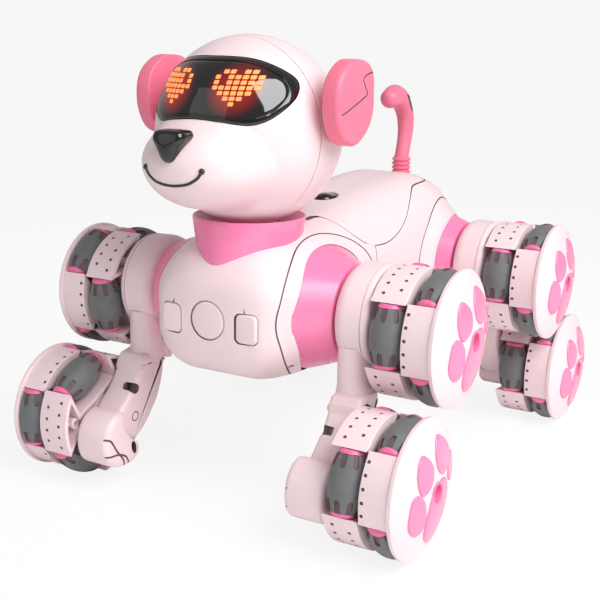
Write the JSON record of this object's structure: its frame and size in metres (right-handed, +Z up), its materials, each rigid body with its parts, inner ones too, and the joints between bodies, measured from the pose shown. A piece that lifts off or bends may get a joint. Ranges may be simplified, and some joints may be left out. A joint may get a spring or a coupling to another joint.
{
  "type": "robot dog toy",
  "caption": "Walking and rolling robot dog toy: swinging legs with paired omni wheels, turning head with a display visor, hinged ears and tail.",
  "frame": {"origin": "on the ground, under the middle of the overall box", "axes": "+Z up, the dog faces -Y, its left side is +X"},
  "size_m": [0.2118, 0.2665, 0.2092],
  "materials": {
    "shell": "injection moulded ABS, light pink, satin",
    "trim": "injection moulded ABS, bright pink",
    "ear": "injection moulded ABS, coral pink",
    "visor": "polished smoked polycarbonate",
    "gloss_black": "polished black ABS",
    "roller": "moulded rubber, grey, on pink flanged cores",
    "motor": "gear motor case",
    "battery": "shrink sleeve over the cells",
    "board": "circuit board with parts"
  },
  "bodies": {
    "torso": {"chest_shell": "shell", "rear_shell": "shell", "back_cover": "shell", "battery_door": "shell", "neck_collar": "trim", "hip_sleeves": "trim", "chest_disc": "shell", "battery_pack": "battery", "circuit_board": "board"},
    "head": {"head_front_shell": "shell", "head_rear_shell": "shell", "visor": "visor", "nose": "gloss_black", "eye_display": "board"},
    "ear_left": {"ear_left": "ear"},
    "ear_right": {"ear_right": "ear"},
    "tail": {"tail": "ear"},
    "chest_button_left": {"chest_button_left": "shell"},
    "chest_button_right": {"chest_button_right": "shell"},
    "back_button": {"back_button": "gloss_black"},
    "front_left_leg": {"front_left_leg_upper": "shell", "front_left_leg_thigh": "shell", "front_left_foot": "shell", "front_left_wheel_motors": "motor"},
    "front_left_upper_wheel": {"front_left_upper_wheel_hub": "shell", "front_left_upper_wheel_cap": "shell", "front_left_upper_wheel_rollers": "roller"},
    "front_left_lower_wheel": {"front_left_lower_wheel_hub": "shell", "front_left_lower_wheel_cap": "shell", "front_left_lower_wheel_rollers": "roller"},
    "front_right_leg": {"front_right_leg_upper": "shell", "front_right_leg_thigh": "shell", "front_right_foot": "shell", "front_right_wheel_motors": "motor"},
    "front_right_upper_wheel": {"front_right_upper_wheel_hub": "shell", "front_right_upper_wheel_cap": "shell", "front_right_upper_wheel_rollers": "roller"},
    "front_right_lower_wheel": {"front_right_lower_wheel_hub": "shell", "front_right_lower_wheel_cap": "shell", "front_right_lower_wheel_rollers": "roller"},
    "rear_left_leg": {"rear_left_leg_upper": "shell", "rear_left_leg_thigh": "shell", "rear_left_foot": "shell", "rear_left_wheel_motors": "motor"},
    "rear_left_upper_wheel": {"rear_left_upper_wheel_hub": "shell", "rear_left_upper_wheel_cap": "shell", "rear_left_upper_wheel_rollers": "roller"},
    "rear_left_lower_wheel": {"rear_left_lower_wheel_hub": "shell", "rear_left_lower_wheel_cap": "shell", "rear_left_lower_wheel_rollers": "roller"},
    "rear_right_leg": {"rear_right_leg_upper": "shell", "rear_right_leg_thigh": "shell", "rear_right_foot": "shell", "rear_right_wheel_motors": "motor"},
    "rear_right_upper_wheel": {"rear_right_upper_wheel_hub": "shell", "rear_right_upper_wheel_cap": "shell", "rear_right_upper_wheel_rollers": "roller"},
    "rear_right_lower_wheel": {"rear_right_lower_wheel_hub": "shell", "rear_right_lower_wheel_cap": "shell", "rear_right_lower_wheel_rollers": "roller"}
  },
  "joints": [
    {"name": "head_turn", "type": "hinge", "parent": "torso", "child": "head", "pos_m": [0, -0.0714, 0.127], "axis": [0, 0, 1], "range_deg": [-35, 35]},
    {"name": "ear_left_swing", "type": "hinge", "parent": "head", "child": "ear_left", "pos_m": [0.041, -0.0695, 0.182], "axis": [1, 0, 0], "range_deg": [-20, 20]},
    {"name": "chest_button_left_press", "type": "slide", "parent": "torso", "child": "chest_button_left", "axis": [0, 1, 0], "range_m": [0, 0.001], "stiffness_N_per_m": 400},
    {"name": "ear_right_swing", "type": "hinge", "parent": "head", "child": "ear_right", "pos_m": [-0.041, -0.0695, 0.182], "axis": [1, 0, 0], "range_deg": [-20, 20]},
    {"name": "chest_button_right_press", "type": "slide", "parent": "torso", "child": "chest_button_right", "axis": [0, 1, 0], "range_m": [0, 0.001], "stiffness_N_per_m": 400},
    {"name": "back_button_press", "type": "slide", "parent": "torso", "child": "back_button", "axis": [0, 0, -1], "range_m": [0, 0.0012], "stiffness_N_per_m": 400},
    {"name": "tail_swing", "type": "hinge", "parent": "torso", "child": "tail", "pos_m": [0, 0.087, 0.131], "axis": [0, 0, 1], "range_deg": [-30, 30]},
    {"name": "front_left_hip_swing", "type": "hinge", "parent": "torso", "child": "front_left_leg", "pos_m": [0.048, -0.06, 0.09], "axis": [1, 0, 0], "range_deg": [-40, 50]},
    {"name": "front_left_upper_wheel_spin", "type": "hinge", "parent": "front_left_leg", "child": "front_left_upper_wheel", "pos_m": [0.0866, -0.06, 0.0854], "axis": [1, 0, 0], "continuous": true},
    {"name": "front_left_lower_wheel_spin", "type": "hinge", "parent": "front_left_leg", "child": "front_left_lower_wheel", "pos_m": [0.0866, -0.0937, 0.03], "axis": [1, 0, 0], "continuous": true},
    {"name": "front_right_hip_swing", "type": "hinge", "parent": "torso", "child": "front_right_leg", "pos_m": [-0.048, -0.06, 0.09], "axis": [1, 0, 0], "range_deg": [-40, 50]},
    {"name": "front_right_upper_wheel_spin", "type": "hinge", "parent": "front_right_leg", "child": "front_right_upper_wheel", "pos_m": [-0.0866, -0.06, 0.0854], "axis": [1, 0, 0], "continuous": true},
    {"name": "front_right_lower_wheel_spin", "type": "hinge", "parent": "front_right_leg", "child": "front_right_lower_wheel", "pos_m": [-0.0866, -0.0937, 0.03], "axis": [1, 0, 0], "continuous": true},
    {"name": "rear_left_hip_swing", "type": "hinge", "parent": "torso", "child": "rear_left_leg", "pos_m": [0.048, 0.07, 0.09], "axis": [1, 0, 0], "range_deg": [-50, 40]},
    {"name": "rear_left_upper_wheel_spin", "type": "hinge", "parent": "rear_left_leg", "child": "rear_left_upper_wheel", "pos_m": [0.0866, 0.07, 0.0854], "axis": [1, 0, 0], "continuous": true},
    {"name": "rear_left_lower_wheel_spin", "type": "hinge", "parent": "rear_left_leg", "child": "rear_left_lower_wheel", "pos_m": [0.0866, 0.1037, 0.03], "axis": [1, 0, 0], "continuous": true},
    {"name": "rear_right_hip_swing", "type": "hinge", "parent": "torso", "child": "rear_right_leg", "pos_m": [-0.048, 0.07, 0.09], "axis": [1, 0, 0], "range_deg": [-50, 40]},
    {"name": "rear_right_upper_wheel_spin", "type": "hinge", "parent": "rear_right_leg", "child": "rear_right_upper_wheel", "pos_m": [-0.0866, 0.07, 0.0854], "axis": [1, 0, 0], "continuous": true},
    {"name": "rear_right_lower_wheel_spin", "type": "hinge", "parent": "rear_right_leg", "child": "rear_right_lower_wheel", "pos_m": [-0.0866, 0.1037, 0.03], "axis": [1, 0, 0], "continuous": true}
  ]
}
